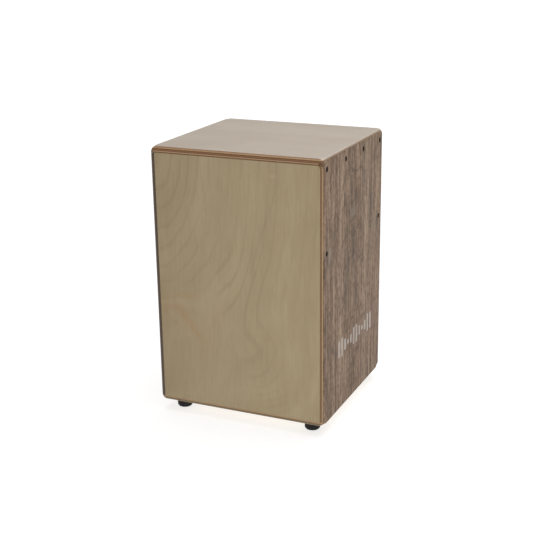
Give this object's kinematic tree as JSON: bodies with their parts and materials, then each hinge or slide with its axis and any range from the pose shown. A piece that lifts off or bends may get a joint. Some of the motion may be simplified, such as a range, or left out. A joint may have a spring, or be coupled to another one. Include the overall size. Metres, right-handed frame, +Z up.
{
  "type": "cajon",
  "caption": "Box drum to sit on and play: plywood shell with rounded edges, thin glued playing plate, rear sound hole, inner snare wires and rubber feet.",
  "frame": {"origin": "on the ground, under the middle of the box's outside", "axes": "+Z up, front playing plate faces -Y, rear plate with the sound hole faces +Y, screwed side boards face -X and +X"},
  "size_m": [0.318, 0.3, 0.49],
  "materials": {
    "birch_face": "satin lacquered birch veneer",
    "seat_face": "satin pale veneer with plywood edges",
    "rustic_veneer": "matte rustic brown veneer, upright grain",
    "raw_ply": "sanded plywood",
    "pine_batten": "planed softwood",
    "black_screw": "blackened, semi-gloss",
    "rubber": "matte black",
    "snare_steel": "bright steel"
  },
  "bodies": {
    "root": {"bottom_panel": "raw_ply", "foot_front_left": "rubber", "foot_front_right": "rubber", "foot_rear_left": "rubber", "foot_rear_right": "rubber", "foot_screw_front_left": "black_screw", "foot_screw_front_right": "black_screw", "foot_screw_rear_left": "black_screw", "foot_screw_rear_right": "black_screw", "front_plate": "birch_face", "post_front_left": "pine_batten", "post_front_right": "pine_batten", "post_rear_left": "pine_batten", "post_rear_right": "pine_batten", "rail_lower_front": "pine_batten", "rail_lower_left": "pine_batten", "rail_lower_rear": "pine_batten", "rail_lower_right": "pine_batten", "rail_upper_front": "pine_batten", "rail_upper_left": "pine_batten", "rail_upper_rear": "pine_batten", "rail_upper_right": "pine_batten", "rear_plate": "raw_ply", "rear_screw_1": "black_screw", "rear_screw_2": "black_screw", "rear_screw_3": "black_screw", "rear_screw_4": "black_screw", "rear_screw_5": "black_screw", "rear_screw_6": "black_screw", "rear_screw_7": "black_screw", "rear_screw_8": "black_screw", "side_panel_left": "rustic_veneer", "side_panel_right": "rustic_veneer", "side_screw_left_1": "black_screw", "side_screw_left_2": "black_screw", "side_screw_left_3": "black_screw", "side_screw_left_4": "black_screw", "side_screw_left_5": "black_screw", "side_screw_left_6": "black_screw", "side_screw_right_1": "black_screw", "side_screw_right_2": "black_screw", "side_screw_right_3": "black_screw", "side_screw_right_4": "black_screw", "side_screw_right_5": "black_screw", "side_screw_right_6": "black_screw", "snare_bar": "pine_batten", "snare_left": "snare_steel", "snare_right": "snare_steel", "snare_screw_left_inner": "snare_steel", "snare_screw_left_outer": "snare_steel", "snare_screw_right_inner": "snare_steel", "snare_screw_right_outer": "snare_steel", "top_panel": "seat_face"}
  },
  "joints": []
}
